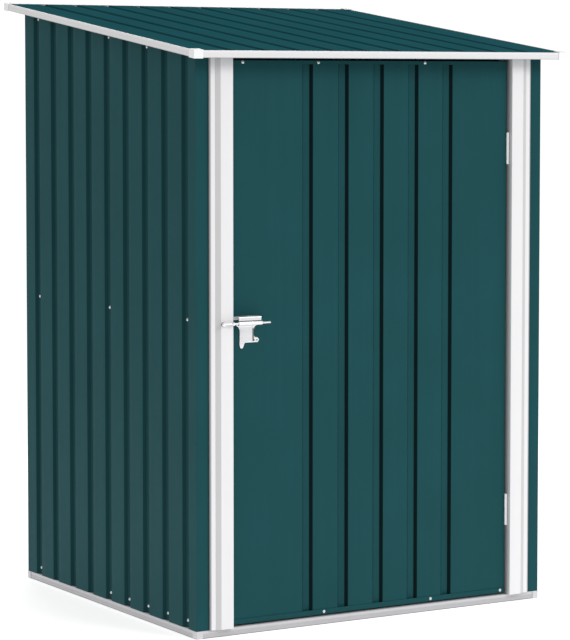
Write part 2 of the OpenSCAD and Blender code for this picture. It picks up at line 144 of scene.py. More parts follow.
world = bpy.data.worlds.new("studio")
world.use_nodes = True
bpy.context.scene.world = world
tree = world.node_tree
background = tree.nodes["Background"]
background.inputs["Color"].default_value = (1, 1, 1, 1)
seen = tree.nodes.new("ShaderNodeLightPath")
brightness = tree.nodes.new("ShaderNodeMapRange")
brightness.inputs["To Min"].default_value = SKY
brightness.inputs["To Max"].default_value = BACKGROUND
tree.links.new(seen.outputs["Is Camera Ray"], brightness.inputs["Value"])
tree.links.new(brightness.outputs["Result"], background.inputs["Strength"])


def soft_lamp(name, place, aim, size, power):
    """A square lamp at place, turned towards aim."""
    data = bpy.data.lights.new(name, "AREA")
    data.size = size
    data.energy = power
    lamp = bpy.data.objects.new(name, data)
    bpy.context.scene.collection.objects.link(lamp)
    lamp.location = place
    lamp.rotation_euler = (Vector(aim) - Vector(place)).to_track_quat("-Z", "Y").to_euler()
    return lamp


soft_lamp("key_lamp", (2.6, -6.2, 4.6), SHED_MIDDLE, 2.4, 165)
soft_lamp("back_lamp", (2.5, 6.0, 3.5), SHED_MIDDLE, 3.0, 90)
bpy.context.scene.view_settings.view_transform = "Standard"
print("sky", SKY, "lamps", len(bpy.data.lights))

# %% [markdown]
# ## Paint and plastic
#
# Coil-coated steel is almost plain in colour, but never perfectly. The rolls leave faint streaks along
# the sheet, the coat drifts a hand's width at a time, and its skin has a fine orange peel. Each of these
# is a noise texture of its own size. One function makes every painted finish, because they differ only
# in numbers. Shade is painted into the colour as well: the mesh stores how dark each point is in an
# attribute named fold, and the colour is scaled down by it.

# %% Texture helpers
def noise_texture(tree, scale, detail, coordinates):
    """A noise texture over the object's own coordinates."""
    texture = tree.nodes.new("ShaderNodeTexNoise")
    texture.inputs["Scale"].default_value = scale
    texture.inputs["Detail"].default_value = detail
    tree.links.new(coordinates, texture.inputs["Vector"])
    return texture


def mapped(tree, value, low, high, source=(0.3, 0.7)):
    """The value, moved from its usual spread to low .. high."""
    node = tree.nodes.new("ShaderNodeMapRange")
    node.inputs["From Min"].default_value = source[0]
    node.inputs["From Max"].default_value = source[1]
    node.inputs["To Min"].default_value = low
    node.inputs["To Max"].default_value = high
    tree.links.new(value, node.inputs["Value"])
    return node.outputs["Result"]


def multiplied(tree, a, b):
    """The product of two values."""
    node = tree.nodes.new("ShaderNodeMath")
    node.operation = "MULTIPLY"
    tree.links.new(a, node.inputs[0])
    tree.links.new(b, node.inputs[1])
    return node.outputs["Value"]


print("a noise texture spreads over about", mapped.__defaults__[0])

# %% [markdown]
# The coat itself puts the helpers together. Colour, roughness and bump each get their own noise, so
# that they don't rise and fall in step, which would look printed.

# %% Painted steel and moulded plastic
CLOUD_SCALE = 5.0
STREAK_SCALE = (60, 60, 1.2)
PATCH_SCALE = 40.0
PEEL_SCALE = 900.0
PEEL_DEPTH = 0.3 * MM
FITTING_METAL = 0.5


def painted(name, colour, mottle, roughness, specular, peel):
    """A satin coat: brightness drifts by mottle, roughness is (least, most), peel is the bump."""
    material = bpy.data.materials.new(name)
    material.use_nodes = True
    tree = material.node_tree
    shader = tree.nodes["Principled BSDF"]
    shader.inputs["Specular IOR Level"].default_value = specular
    coordinates = tree.nodes.new("ShaderNodeTexCoord").outputs["Object"]

    cloud = noise_texture(tree, CLOUD_SCALE, 3.0, coordinates)
    drawn = tree.nodes.new("ShaderNodeMapping")
    drawn.inputs["Scale"].default_value = STREAK_SCALE
    tree.links.new(coordinates, drawn.inputs["Vector"])
    streak = noise_texture(tree, 1.0, 2.0, drawn.outputs["Vector"])
    brightness = multiplied(
        tree,
        mapped(tree, cloud.outputs["Fac"], 1 - mottle, 1 + mottle),
        mapped(tree, streak.outputs["Fac"], 1 - mottle / 2, 1 + mottle / 2),
    )
    # Painted shade: the mesh's fold attribute scales the base colour down.
    fold = tree.nodes.new("ShaderNodeAttribute")
    fold.attribute_name = "fold"
    unshaded_share = mapped(tree, fold.outputs["Fac"], 1.0, 0.0, (0.0, 1.0))
    tint = tree.nodes.new("ShaderNodeVectorMath")
    tint.operation = "SCALE"
    tint.inputs[0].default_value = colour
    tree.links.new(multiplied(tree, brightness, unshaded_share), tint.inputs["Scale"])
    tree.links.new(tint.outputs["Vector"], shader.inputs["Base Color"])

    patches = noise_texture(tree, PATCH_SCALE, 4.0, coordinates)
    drift = mapped(tree, patches.outputs["Fac"], roughness[0], roughness[1])
    tree.links.new(drift, shader.inputs["Roughness"])

    skin = noise_texture(tree, PEEL_SCALE, 2.0, coordinates)
    bump = tree.nodes.new("ShaderNodeBump")
    bump.inputs["Strength"].default_value = peel
    bump.inputs["Distance"].default_value = PEEL_DEPTH
    tree.links.new(skin.outputs["Fac"], bump.inputs["Height"])
    tree.links.new(bump.outputs["Normal"], shader.inputs["Normal"])
    return material


green_paint = painted("green_paint", (0.0120, 0.0675, 0.0755), 0.045, (0.42, 0.50), 0.04, 0.2)
roof_paint = painted("roof_paint", (0.0155, 0.089, 0.106), 0.05, (0.55, 0.62), 0.0, 0.2)
white_paint = painted("white_paint", (0.79, 0.785, 0.797), 0.010, (0.36, 0.44), 0.30, 0.15)
rail_paint = painted("rail_paint", (0.58, 0.57, 0.59), 0.02, (0.38, 0.46), 0.30, 0.15)
white_plastic = painted("white_plastic", (0.88, 0.88, 0.88), 0.008, (0.46, 0.54), 0.35, 0.4)
rail_plastic = painted("rail_plastic", (0.60, 0.59, 0.61), 0.008, (0.46, 0.54), 0.35, 0.4)
white_fitting = painted("white_fitting", (0.87, 0.87, 0.89), 0.010, (0.16, 0.24), 0.50, 0.3)
fitting_shader = white_fitting.node_tree.nodes["Principled BSDF"]
fitting_shader.inputs["Metallic"].default_value = FITTING_METAL
# A whiter white for the hinge leaves, a painted light that keeps them bright in the doorway's shade.
hinge_white_lit = painted("hinge_white_lit", (0.93, 0.93, 0.94), 0.008, (0.30, 0.38), 0.50, 0.3)
print("coats", green_paint.name, roof_paint.name, white_paint.name, rail_paint.name)

# %% [markdown]
# ## Zinc
#
# Hot-dip zinc freezes in flat crystals, the spangle, each of which mirrors the light its own way. A
# Voronoi texture gives every cell one random value, and that value sets its brightness and roughness.

# %% Galvanised steel
def galvanised(name, scale, dark, light, roughness):
    """Dull zinc: scale is crystals per metre, dark and light are their tones, roughness is a pair."""
    material = bpy.data.materials.new(name)
    material.use_nodes = True
    tree = material.node_tree
    shader = tree.nodes["Principled BSDF"]
    shader.inputs["Metallic"].default_value = 0.9
    coordinates = tree.nodes.new("ShaderNodeTexCoord").outputs["Object"]
    crystals = tree.nodes.new("ShaderNodeTexVoronoi")
    crystals.inputs["Scale"].default_value = scale
    tree.links.new(coordinates, crystals.inputs["Vector"])
    value = tree.nodes.new("ShaderNodeSeparateColor")
    tree.links.new(crystals.outputs["Color"], value.inputs["Color"])
    tint = tree.nodes.new("ShaderNodeValToRGB")
    tint.color_ramp.elements[0].color = (*dark, 1)
    tint.color_ramp.elements[1].color = (*light, 1)
    tree.links.new(value.outputs["Red"], tint.inputs["Fac"])
    tree.links.new(tint.outputs["Color"], shader.inputs["Base Color"])
    dullness = mapped(tree, value.outputs["Green"], roughness[0], roughness[1], (0.0, 1.0))
    tree.links.new(dullness, shader.inputs["Roughness"])
    return material


zinc = galvanised("zinc", 90.0, (0.50, 0.51, 0.53), (0.72, 0.73, 0.74), (0.38, 0.58))
bright_zinc = galvanised("bright_zinc", 700.0, (0.74, 0.75, 0.77), (0.86, 0.87, 0.88), (0.22, 0.36))
FINISHES = {
    "green_sheet": green_paint,
    "white_metal": white_paint,
    "grey_metal": rail_paint,
    "white_plastic": white_plastic,
    "white_fitting": white_fitting,
    "zinc": zinc,
}
print("finishes", sorted(FINISHES))

# %% [markdown]
# ## Dress the frame
#
# The rails, channels and angles of the frame keep their engineering shape. They need their finish and
# the softened edges that a folding press leaves. A bevel modifier rounds the edges without touching
# the mesh, which has to stay as it is.

# %% Finishes and soft edges on the frame
FOLD_EDGE = 0.35 * MM
CAP_EDGE = 0.6 * MM

for row in frame["record"]["subparts"]:
    node = nodes[row["node"]]
    node.data.materials.clear()
    node.data.materials.append(FINISHES[row["material_slot"]])
    soften = node.modifiers.new("soft_edges", "BEVEL")
    soften.width = CAP_EDGE if "caps" in row["node"] else FOLD_EDGE
    soften.segments = 3 if "caps" in row["node"] else 2
    soften.limit_method = "ANGLE"
    soften.angle_limit = math.radians(30)
nodes["base_corner_caps"].data.materials[0] = rail_plastic
# Painted light: the hinge leaves take the whiter hinge coat.
for name in ("hinge_frame_leaves", "hinge_door_leaves"):
    nodes[name].data.materials[0] = hinge_white_lit

# %% [markdown]
# ## One way to add a piece
#
# Every new piece goes through one function. It turns points and faces into a mesh, makes the faces
# look outwards, shades the curves smooth and keeps the true edges sharp. Then it hangs the piece on the
# body it moves with, gives it its finish, and hides the engineering node that it takes the place of.

# %% Adding a piece
SHARP = math.radians(34)
SAME_PLACE = 0.005 * MM


def add_piece(name, mesh, finish, body, node=None):
    """A mesh as a finished piece that moves with body, in place of node if one is named."""
    shape = bmesh.new()
    shape.from_mesh(mesh)
    bmesh.ops.remove_doubles(shape, verts=shape.verts, dist=SAME_PLACE)
    bmesh.ops.recalc_face_normals(shape, faces=shape.faces)
    shape.to_mesh(mesh)
    shape.free()
    mesh.shade_smooth()
    mesh.set_sharp_from_angle(angle=SHARP)
    mesh.materials.clear()
    mesh.materials.append(finish)
    piece = bpy.data.objects.new(name, mesh)
    bpy.context.scene.collection.objects.link(piece)
    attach(piece, body)
    if node:
        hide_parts(node)
    return piece


def mesh_of(name, points, faces):
    """A new mesh from a list of points and a list of faces."""
    mesh = bpy.data.meshes.new(name)
    mesh.from_pydata(points, [], faces)
    return mesh


def mesh_from(shape, name):
    """A new mesh from a bmesh, which is freed."""
    mesh = bpy.data.meshes.new(name)
    shape.to_mesh(mesh)
    shape.free()
    return mesh


print("edges stay sharp from", round(math.degrees(SHARP)), "degrees")

# %% [markdown]
# ## Bends in sheet metal
#
# A press never folds sheet to a sharp corner: the outside of the bend has a radius of one or two
# thicknesses. So a fold is drawn as a path of straight lines, each corner becomes an arc, and the other
# side of the sheet is the same path moved sideways by the thickness.

# %% Arcs and offsets
STRAIGHT = math.radians(89)
ARC_SHARE = 0.45


def rounded(path, radius, steps=4):
    """The open 2-D path with an arc of that radius in place of each corner."""
    points = [Vector(path[0])]
    for before, corner, after in zip(path, path[1:], path[2:]):
        corner = Vector(corner)
        back = Vector(before) - corner
        on = Vector(after) - corner
        half = back.angle(on) / 2
        if half > STRAIGHT:
            points.append(corner)
            continue
        cut = min(radius / math.tan(half), ARC_SHARE * back.length, ARC_SHARE * on.length)
        start = corner + back.normalized() * cut
        end = corner + on.normalized() * cut
        middle = corner + (back.normalized() + on.normalized()).normalized() * cut / math.cos(half)
        first, last = (start - middle).normalized(), (end - middle).normalized()
        size = (start - middle).length
        for step in range(steps + 1):
            points.append(middle + first.slerp(last, step / steps) * size)
    points.append(Vector(path[-1]))
    return points


def moved_sideways(path, distance):
    """The path moved to its right by distance, so that every stretch keeps its direction."""
    moved = []
    for i, point in enumerate(path):
        before = (point - path[i - 1]).normalized() if i > 0 else None
        after = (path[i + 1] - point).normalized() if i < len(path) - 1 else None
        before = before or after
        after = after or before
        turn = (before + after).normalized()
        side = Vector((turn.y, -turn.x))
        moved.append(point + side * distance / max(0.5, turn.dot(before)))
    return moved


bend = rounded([(0, 0), (1, 0), (1, 1)], 0.2)
print("one bend", len(bend), "points, its other side", len(moved_sideways(bend, 0.1)))

# %% [markdown]
# ## The ribbed skins
#
# The walls, the roof and the door's face are one sheet each, with shallow ribs rolled into them. The
# skin is built as a grid: across it runs the ribbed outline, with real bend radii, and along it run
# rows a few centimetres apart. The outline comes from the engineering node, so that it can't drift.
# The rows let the flats between the ribs dent inwards by a fraction of a millimetre. Thin sheet
# always does that, and it is what breaks up the reflections on a real wall.

# %% Read a sheet's outline
SHEET = 0.8 * MM
RIB_BEND = 2.2 * MM
FLAT_STEPS = 4


def read_outline(node, across, along, outward):
    """Corners of the sheet's outer line as (across, depth, lowest, highest), and its outer plane."""
    points = [vertex.co for vertex in nodes[node].data.vertices]
    plane = max(point.dot(outward) for point in points)
    rib = sorted({round(plane - point.dot(outward), 4) for point in points})[2]
    corners = {}
    for point in points:
        depth = round(plane - point.dot(outward), 4)
        if depth in (0, rib):
            key = round(point.dot(across), 4)
            height = point.dot(along)
            low, high = corners.get(key, (depth, height, height))[1:]
            corners[key] = (depth, min(low, height), max(high, height))
    return [(key, *corners[key]) for key in sorted(corners)], plane


outline, plane = read_outline("door_sheet", Vector((1, 0, 0)), Vector((0, 0, 1)), Vector((0, -1, 0)))
print("door outline", len(outline), "corners, outer plane", round(plane, 4))

# %% [markdown]
# The sheet itself is a grid of points for each face, joined round the edge so that it is closed. Each
# point also gets its fold value, a painted shade: it grows with the slope of the outline and stays small
# on the flats. The two slopes of a rib can be painted in different shades, as light from one side gives
# them.

# %% Build a skin
DENT = 0.45 * MM
DENT_REACH = 20 * MM
DENTS_ACROSS = 9
DENTS_ALONG = 5
FLAT = 0.1 * MM
LONG_STRETCH = 15 * MM
ROW = 45 * MM


def with_flats(path):
    """The path with points added along its long straight stretches."""
    points = []
    for a, b in zip(path, path[1:]):
        steps = FLAT_STEPS if (b - a).length > LONG_STRETCH else 1
        points += [a.lerp(b, step / steps) for step in range(steps)]
    return points + [path[-1]]


def fold_shade(path, shades):
    """Painted shade at each point of the outline: shades are of the left slope, the right slope, the
    bed.
    """
    rib = max(point.y for point in path)
    values = []
    for i, point in enumerate(path):
        run = path[min(i + 1, len(path) - 1)] - path[max(i - 1, 0)]
        slope = math.atan2(run.y, run.x) / (math.pi / 4)
        steep = min(1.0, abs(slope))
        side = shades[0] if slope > 0 else shades[1]
        values.append(steep * side + (1 - steep) * point.y / rib * shades[2])
    return values


def dents(path, rows, length, seed):
    """Depth of the dents for each row and point: none on the ribs, at the bends and at the ends."""
    table = []
    for r in range(rows + 1):
        end = math.sin(math.pi * r / rows)
        line = []
        for i, point in enumerate(path):
            near = min(abs(point.x - other.x) for other in path if other.y > FLAT)
            flat = min(1.0, near / DENT_REACH) if point.y < FLAT else 0.0
            spot = Vector((point.x * DENTS_ACROSS, r * length / rows * DENTS_ALONG, seed))
            line.append(DENT * flat * min(1.0, 3 * end) * (0.5 + 0.5 * noise.noise(spot)))
        table.append(line)
    return table


def ribbed_skin(node, across, along, outward, finish, body, shades, seed):
    """The sheet of a node, built again with round bends, dents, painted shade and a closed inner face.
    """
    across, along, outward = Vector(across), Vector(along), Vector(outward)
    outline, plane = read_outline(node, across, along, outward)
    front = with_flats(rounded([(key, depth) for key, depth, low, high in outline], RIB_BEND))
    back = moved_sideways(front, -SHEET)
    shade = fold_shade(front, shades)
    first, last = outline[0], outline[-1]
    climb = (last[3] - first[3]) / (last[0] - first[0])
    low = first[2]
    length = max(first[3], last[3]) - low
    rows = round(length / ROW)
    pressed = dents(front, rows, length, seed)
    points, folds = [], []
    for side, path in enumerate((front, back)):
        for r in range(rows + 1):
            for i, point in enumerate(path):
                top = first[3] + climb * (front[i].x - first[0])
                height = low + (top - low) * r / rows
                depth = point.y + pressed[r][i]
                points.append(across * point.x + along * height + outward * (plane - depth))
                folds.append(shade[i])
    wide = len(front)
    layer = (rows + 1) * wide
    faces = []
    for r in range(rows):
        for i in range(wide - 1):
            a = r * wide + i
            faces.append((a, a + 1, a + 1 + wide, a + wide))
            faces.append((a + layer, a + wide + layer, a + 1 + wide + layer, a + 1 + layer))
        for i in (0, wide - 1):
            a = r * wide + i
            faces.append((a, a + wide, a + wide + layer, a + layer))
    for r in (0, rows):
        for i in range(wide - 1):
            a = r * wide + i
            faces.append((a, a + 1, a + 1 + layer, a + layer))
    mesh = mesh_of(node + "_skin", points, faces)
    mesh.attributes.new("fold", "FLOAT", "POINT").data.foreach_set("value", folds)
    piece = add_piece(node + "_skin", mesh, finish, body, node)
    beds = sorted({round(key, 4) for key, depth, low, high in outline if depth})
    centres = [(a + b) / 2 for a, b in zip(beds[::2], beds[1::2])]
    print(piece.name, "faces", len(mesh.polygons), "ribs", len(centres))
    return centres


# %% [markdown]
# Five sheets are made this way. They differ in where they face, in their finish, and in how much shade
# is painted into their folds: the door's ribs catch the light from one side, so one slope is painted
# much darker.

# %% The five skins
def roof_angle():
    """The roof's slope, from the lowest and the highest corner of its sheet."""
    points = [vertex.co for vertex in nodes["roof_sheet"].data.vertices]
    low = min(points, key=lambda point: point.y)
    high = max(points, key=lambda point: point.z)
    return math.atan2(high.z - low.z, high.y - low.y)


SLOPE = roof_angle()
X, Y, Z = Vector((1, 0, 0)), Vector((0, 1, 0)), Vector((0, 0, 1))
UPHILL = Vector((0, math.cos(SLOPE), math.sin(SLOPE)))
ROOF_NORMAL = Vector((0, -math.sin(SLOPE), math.cos(SLOPE)))
# Painted shade on each sheet's ribs: left slope, right slope, bed.
WALL_SHADES = (0.42, 0.42, 0.30)
DOOR_SHADES = (0.20, 0.88, 0.04)
ROOF_SHADES = (0.35, 0.35, 0.25)

left_ribs = ribbed_skin("left_wall", -Y, Z, -X, green_paint, "shed", WALL_SHADES, 1)
right_ribs = ribbed_skin("right_wall", Y, Z, X, green_paint, "shed", WALL_SHADES, 2)
back_ribs = ribbed_skin("back_wall", -X, Z, Y, green_paint, "shed", WALL_SHADES, 3)
roof_ribs = ribbed_skin("roof_sheet", X, UPHILL, ROOF_NORMAL, roof_paint, "shed", ROOF_SHADES, 4)
ribbed_skin("door_sheet", X, Z, -Y, green_paint, "door", DOOR_SHADES, 5)
print("roof slope", round(math.degrees(SLOPE), 2), "degrees")

# %% [markdown]
# ## Folded strips
#
# The jambs, the trims and the base rails are long strips folded to one profile. A profile is a path
# in two dimensions, and the strip is that path swept along a straight line. Its ends are cut square,
# mitred, or along the slope of the roof, so a small function says where each line of the strip starts
# and stops.

# %% Sweep a folded strip
MITRE_GAP = 0.2 * MM


def folded_strip(name, path, bend, thickness, place, ends, finish, node, shade=None):
    """A folded profile swept along a line: place(u, w, s) is a point, ends(u, w) gives both stops."""
    outer = rounded(path, bend)
    inner = moved_sideways(outer, thickness)
    section = outer + inner[::-1]
    points = []
    for point in section:
        points += [place(point.x, point.y, stop) for stop in ends(point.x, point.y)]
    count = len(section)
    faces = [
        (2 * i, 2 * ((i + 1) % count), 2 * ((i + 1) % count) + 1, 2 * i + 1) for i in range(count)
    ]
    for i in range(len(outer) - 1):
        j = count - 1 - i
        for end in (0, 1):
            faces.append((2 * i + end, 2 * (i + 1) + end, 2 * (j - 1) + end, 2 * j + end))
    mesh = mesh_of(name, points, faces)
    if shade:
        folds = [shade(point.x, point.y) for point in section for end in (0, 1)]
        mesh.attributes.new("fold", "FLOAT", "POINT").data.foreach_set("value", folds)
    return add_piece(name, mesh, finish, "shed", node)


def shade_table(table):
    """A shade function from (height, shade) pairs: a point takes the first height above its own."""
    def shade(u, w):
        for height, value in table:
            if w < height:
                return value
        return 0.0
    return shade


def along_edge(corner, along, inward, up):
    """A place function for a strip that runs from a corner, with its outer face on that edge."""
    return lambda u, w, s: corner + inward * u + up * w + along * s


def mitred(length):
    """An ends function for a strip of that length between two mitred corners."""
    return lambda u, w: (u + MITRE_GAP, length - u - MITRE_GAP)


print("mitres leave", round(2 * MITRE_GAP / MM, 1), "mm")

# %% [markdown]
# ### The door jambs
#
# A jamb is one folded strip: a lip on the wall, a low flange, a slope, the raised face, the return into
# the doorway and the stop that the door closes against. Its top follows the roof. The part of the return
# behind the door's face lies in shade, so shade is painted on it as on the ribs, and a little is painted
# on the slope. The lip gets painted shade too, darkest along its outer edge.

# %% Jambs
JAMB_FLANGE = 15 * MM
JAMB_LOW = 6 * MM
JAMB_SLOPE = 13.5 * MM
JAMB_STOP = 15 * MM
JAMB_BEND = 1.6 * MM
# Painted shade in the rebate, on the slope and on the lip.
REBATE_SHADE = (-5 * MM, 0.65)
SLOPE_SHADE = 0.28
LIP_SHADE = (0.92, 0.52)
LIP_EDGE = 3 * MM
LIP_FOOT = 2 * MM
SHADE_FADE = 1 * MM
TRIM_SHEET = 1.0 * MM
FIT = 0.3 * MM

front_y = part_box("front_strip_left")[0].y
for side, inward in (("left", X), ("right", -X)):
    low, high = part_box("jamb_" + side)
    outer_x = low.x if side == "left" else high.x
    face_u = high.x - low.x - JAMB_STOP
    proud = front_y - low.y
    stop = front_y - high.y + TRIM_SHEET
    door_face = front_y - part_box("door_top_channel")[0].y
    path = [
        (0, FIT),
        (0, LIP_FOOT),
        (0, JAMB_LOW),
        (LIP_EDGE, JAMB_LOW),
        (LIP_EDGE + SHADE_FADE, JAMB_LOW),
        (JAMB_FLANGE, JAMB_LOW),
        (JAMB_FLANGE + JAMB_SLOPE, proud),
        (face_u, proud),
        (face_u, door_face),
        (face_u, door_face - SHADE_FADE),
        (face_u, stop),
        (face_u + JAMB_STOP, stop),
    ]
    corner = Vector((outer_x, front_y, 0))

    def jamb_ends(u, w, low=low, high=high):
        """From the base rail up to the roof's slope."""
        return low.z, high.z - (high.y - (front_y - w)) * math.tan(SLOPE)

    def jamb_shade(u, w):
        """Painted shade: dark in the rebate and on the lip, and a little on the slope."""
        if w < REBATE_SHADE[0]:
            return REBATE_SHADE[1]
        if u < LIP_EDGE + SHADE_FADE / 2:
            return LIP_SHADE[0] if w < LIP_FOOT / 2 else LIP_SHADE[1]
        return SLOPE_SHADE if JAMB_FLANGE < u < JAMB_FLANGE + JAMB_SLOPE else 0.0

    folded_strip(
        f"jamb_{side}_fold", path, JAMB_BEND, TRIM_SHEET, along_edge(corner, Z, inward, -Y),
        jamb_ends, white_paint, "jamb_" + side, jamb_shade,
    )
    print("jamb", side, "raised", round(proud / MM, 1), "mm")

# %% [markdown]
# ### The roof trim
#
# The trim is a narrow channel on all four edges: a lip on top, a face, and a flange underneath. The
# four pieces meet in mitres, which the corner caps hide. Its lower edge and lower face get a painted
# shade, so the upper edge reads lighter; extra points in the profile carry those two shades.

# %% Roof trim
TRIM_HEIGHT = 18 * MM
TRIM_LIP = 5 * MM
TRIM_FLANGE = 14 * MM
TRIM_BEND = 1.3 * MM
TRIM_LINES = (2.5 * MM, 12 * MM, 14 * MM)
TRIM_SHADES = ((2 * MM, 0.35), (13 * MM, 0.07))


def reach(node, direction):
    """The least and the greatest distance of a node along a direction."""
    distances = [vertex.co.dot(direction) for vertex in nodes[node].data.vertices]
    return min(distances), max(distances)


trim_x = reach("roof_trim_right", X)[1]
trim_low = reach("roof_trim_front", UPHILL)[0]
trim_high = reach("roof_trim_back", UPHILL)[1]
trim_top = reach("roof_trim_front", ROOF_NORMAL)[1]
trim_path = [(TRIM_FLANGE, -TRIM_HEIGHT), (0, -TRIM_HEIGHT)]
trim_path += [(0, height - TRIM_HEIGHT) for height in TRIM_LINES]
trim_path += [(0, 0), (TRIM_LIP, 0)]
trim_shade = shade_table([(height - TRIM_HEIGHT, shade) for height, shade in TRIM_SHADES])
TRIMS = {
    "left": (-trim_x, trim_low, UPHILL, X, trim_high - trim_low),
    "right": (trim_x, trim_low, UPHILL, -X, trim_high - trim_low),
    "front": (-trim_x, trim_low, X, UPHILL, 2 * trim_x),
    "back": (-trim_x, trim_high, X, -UPHILL, 2 * trim_x),
}
for side, (x, uphill, along, inward, length) in TRIMS.items():
    corner = X * x + UPHILL * uphill + ROOF_NORMAL * trim_top
    folded_strip(
        f"roof_trim_{side}_fold", trim_path, TRIM_BEND, TRIM_SHEET,
        along_edge(corner, along, inward, ROOF_NORMAL), mitred(length),
        white_paint, "roof_trim_" + side, trim_shade,
    )
print("trim", round(2 * trim_x, 3), "by", round(trim_high - trim_low, 3), "m")

# %% [markdown]
# ### The base rails
#
# The base rails carry the walls. Each has a flange on the ground, the face that shows, a ledge, and
# an upright behind the foot of the wall. The front rail has no upright: its ledge is the door sill.
# The lower part of the face gets a painted shade from a table of two heights, darkest at its foot.

# %% Base rails
RAIL_SHEET = 1.2 * MM
RAIL_BEND = 1.6 * MM
RAIL_HEIGHT = 20 * MM
RAIL_FLANGE = 26 * MM
UPRIGHT_IN = 8.3 * MM
UPRIGHT_TOP = 50 * MM
SILL_IN = 30 * MM
SILL_LIP = 10 * MM
RAIL_LINES = (3 * MM, 12 * MM, 14 * MM)
RAIL_SHADES = ((2 * MM, 0.60), (13 * MM, 0.20))

foot = [(RAIL_FLANGE, 0), (0, 0), *((0, height) for height in RAIL_LINES), (0, RAIL_HEIGHT)]
rail_shade = shade_table(RAIL_SHADES)
wall_path = foot + [(UPRIGHT_IN, RAIL_HEIGHT), (UPRIGHT_IN, UPRIGHT_TOP)]
sill_path = foot + [(SILL_IN, RAIL_HEIGHT), (SILL_IN, RAIL_HEIGHT - SILL_LIP)]
side_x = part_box("base_rail_right")[1].x
back_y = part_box("base_rail_back")[1].y
depth = back_y - front_y
RAILS = {
    "left": (wall_path, (-side_x, front_y, 0), Y, X, depth),
    "right": (wall_path, (side_x, front_y, 0), Y, -X, depth),
    "front": (sill_path, (-side_x, front_y, 0), X, Y, 2 * side_x),
    "back": (wall_path, (-side_x, back_y, 0), X, -Y, 2 * side_x),
}
for side, (path, corner, along, inward, length) in RAILS.items():
    folded_strip(
        f"base_rail_{side}_fold", path, RAIL_BEND, RAIL_SHEET,
        along_edge(Vector(corner), along, inward, Z), mitred(length),
        rail_paint, "base_rail_" + side, rail_shade,
    )
print("base", round(2 * side_x, 3), "by", round(depth, 3), "m")

# %% [markdown]
# ## Screws
#
# Every sheet is held by self-tapping screws, each on a soft plastic washer that keeps the rain out.
# The head is a low dome with a cross recess. The recess is real geometry: a cross of twelve corners
# is joined to the dome's round edge, and its floor lies deeper. All the screws of one body are one
# mesh, and all their washers are another, because they are many, alike and never move by themselves.

# %% One screw and one washer
HEAD_RADIUS = 2.9 * MM
HEAD_HEIGHT = 1.7 * MM
WASHER_RADIUS = 3.9 * MM
WASHER_HEIGHT = 1.0 * MM
CROSS_ARM = 1.5 * MM
CROSS_WIDTH = 0.38 * MM
CROSS_DEPTH = 0.9 * MM
CROSS_RISE = 0.12 * MM
CROSS_TAPER = 0.7
DOME_RINGS = (0.62, 0.82, 0.95, 1.0)
DOME_FALL = 0.93
HEAD_RIM = 0.1 * MM
SEGMENTS = 24
ON_AXIS = 1e-7


def facing(place, normal, spin=0.0):
    """The matrix that stands a thing drawn along +Z on a place, along a normal."""
    turn = Vector(normal).to_track_quat("Z", "Y").to_matrix().to_4x4()
    return Matrix.Translation(place) @ turn @ Matrix.Rotation(spin, 4, "Z")


def lathe(shape, profile, at, segments=SEGMENTS, closed=False):
    """Turns a profile of (radius, height) points about +Z into rings joined by faces."""
    rings = []
    for radius, height in profile:
        if radius < ON_AXIS:
            rings.append([shape.verts.new(at @ Vector((0, 0, height)))])
            continue
        ring = []
        for i in range(segments):
            angle = 2 * math.pi * i / segments
            spot = Vector((radius * math.cos(angle), radius * math.sin(angle), height))
            ring.append(shape.verts.new(at @ spot))
        rings.append(ring)
    pairs = list(zip(rings, rings[1:])) + ([(rings[-1], rings[0])] if closed else [])
    for a, b in pairs:
        for i in range(segments):
            j = (i + 1) % segments
            corners = [a[i % len(a)], a[j % len(a)], b[j % len(b)], b[i % len(b)]]
            shape.faces.new(list(dict.fromkeys(corners)))
    return rings


def cross_points():
    """The outline of the cross recess, counter-clockwise, with a point halfway along each side."""
    corners = []
    for quarter in range(4):
        turn = Matrix.Rotation(quarter * math.pi / 2, 2)
        for x, y in ((CROSS_ARM, -CROSS_WIDTH), (CROSS_ARM, CROSS_WIDTH), (CROSS_WIDTH, CROSS_WIDTH)):
            corners.append(turn @ Vector((x, y)))
    points = []
    for i, corner in enumerate(corners):
        points += [corner, corner.lerp(corners[(i + 1) % len(corners)], 0.5)]
    return points


def add_screw(shape, at):
    """A dome head with a cross recess, closed underneath."""
    cross = cross_points()
    angles = [math.atan2(point.y, point.x) for point in cross]
    rings = []
    for share in DOME_RINGS:
        height = HEAD_HEIGHT * math.sqrt(1 - share ** 2 * DOME_FALL) + HEAD_RIM
        rings.append([
            Vector((HEAD_RADIUS * share * math.cos(a), HEAD_RADIUS * share * math.sin(a), height))
            for a in angles
        ])
    base = [Vector((point.x, point.y, 0)) for point in rings[-1]]
    top = rings[0][0].z + CROSS_RISE
    rim = [Vector((point.x, point.y, top)) for point in cross]
    bed = [Vector((*(point * CROSS_TAPER), top - CROSS_DEPTH)) for point in cross]
    loops = [[shape.verts.new(at @ point) for point in loop] for loop in (bed, rim, *rings, base)]
    for a, b in zip(loops, loops[1:]):
        for i in range(SEGMENTS):
            j = (i + 1) % SEGMENTS
            shape.faces.new((a[i], a[j], b[j], b[i]))
    shape.faces.new(loops[0])
    shape.faces.new(loops[-1][::-1])


def add_washer(shape, at):
    """A flat ring with a soft outer edge, closed by its middle."""
    r, h = WASHER_RADIUS, WASHER_HEIGHT
    lathe(shape, [(0, 0), (r, 0), (r, 0.5 * h), (0.93 * r, 0.85 * h), (0.82 * r, h), (0, h)], at)


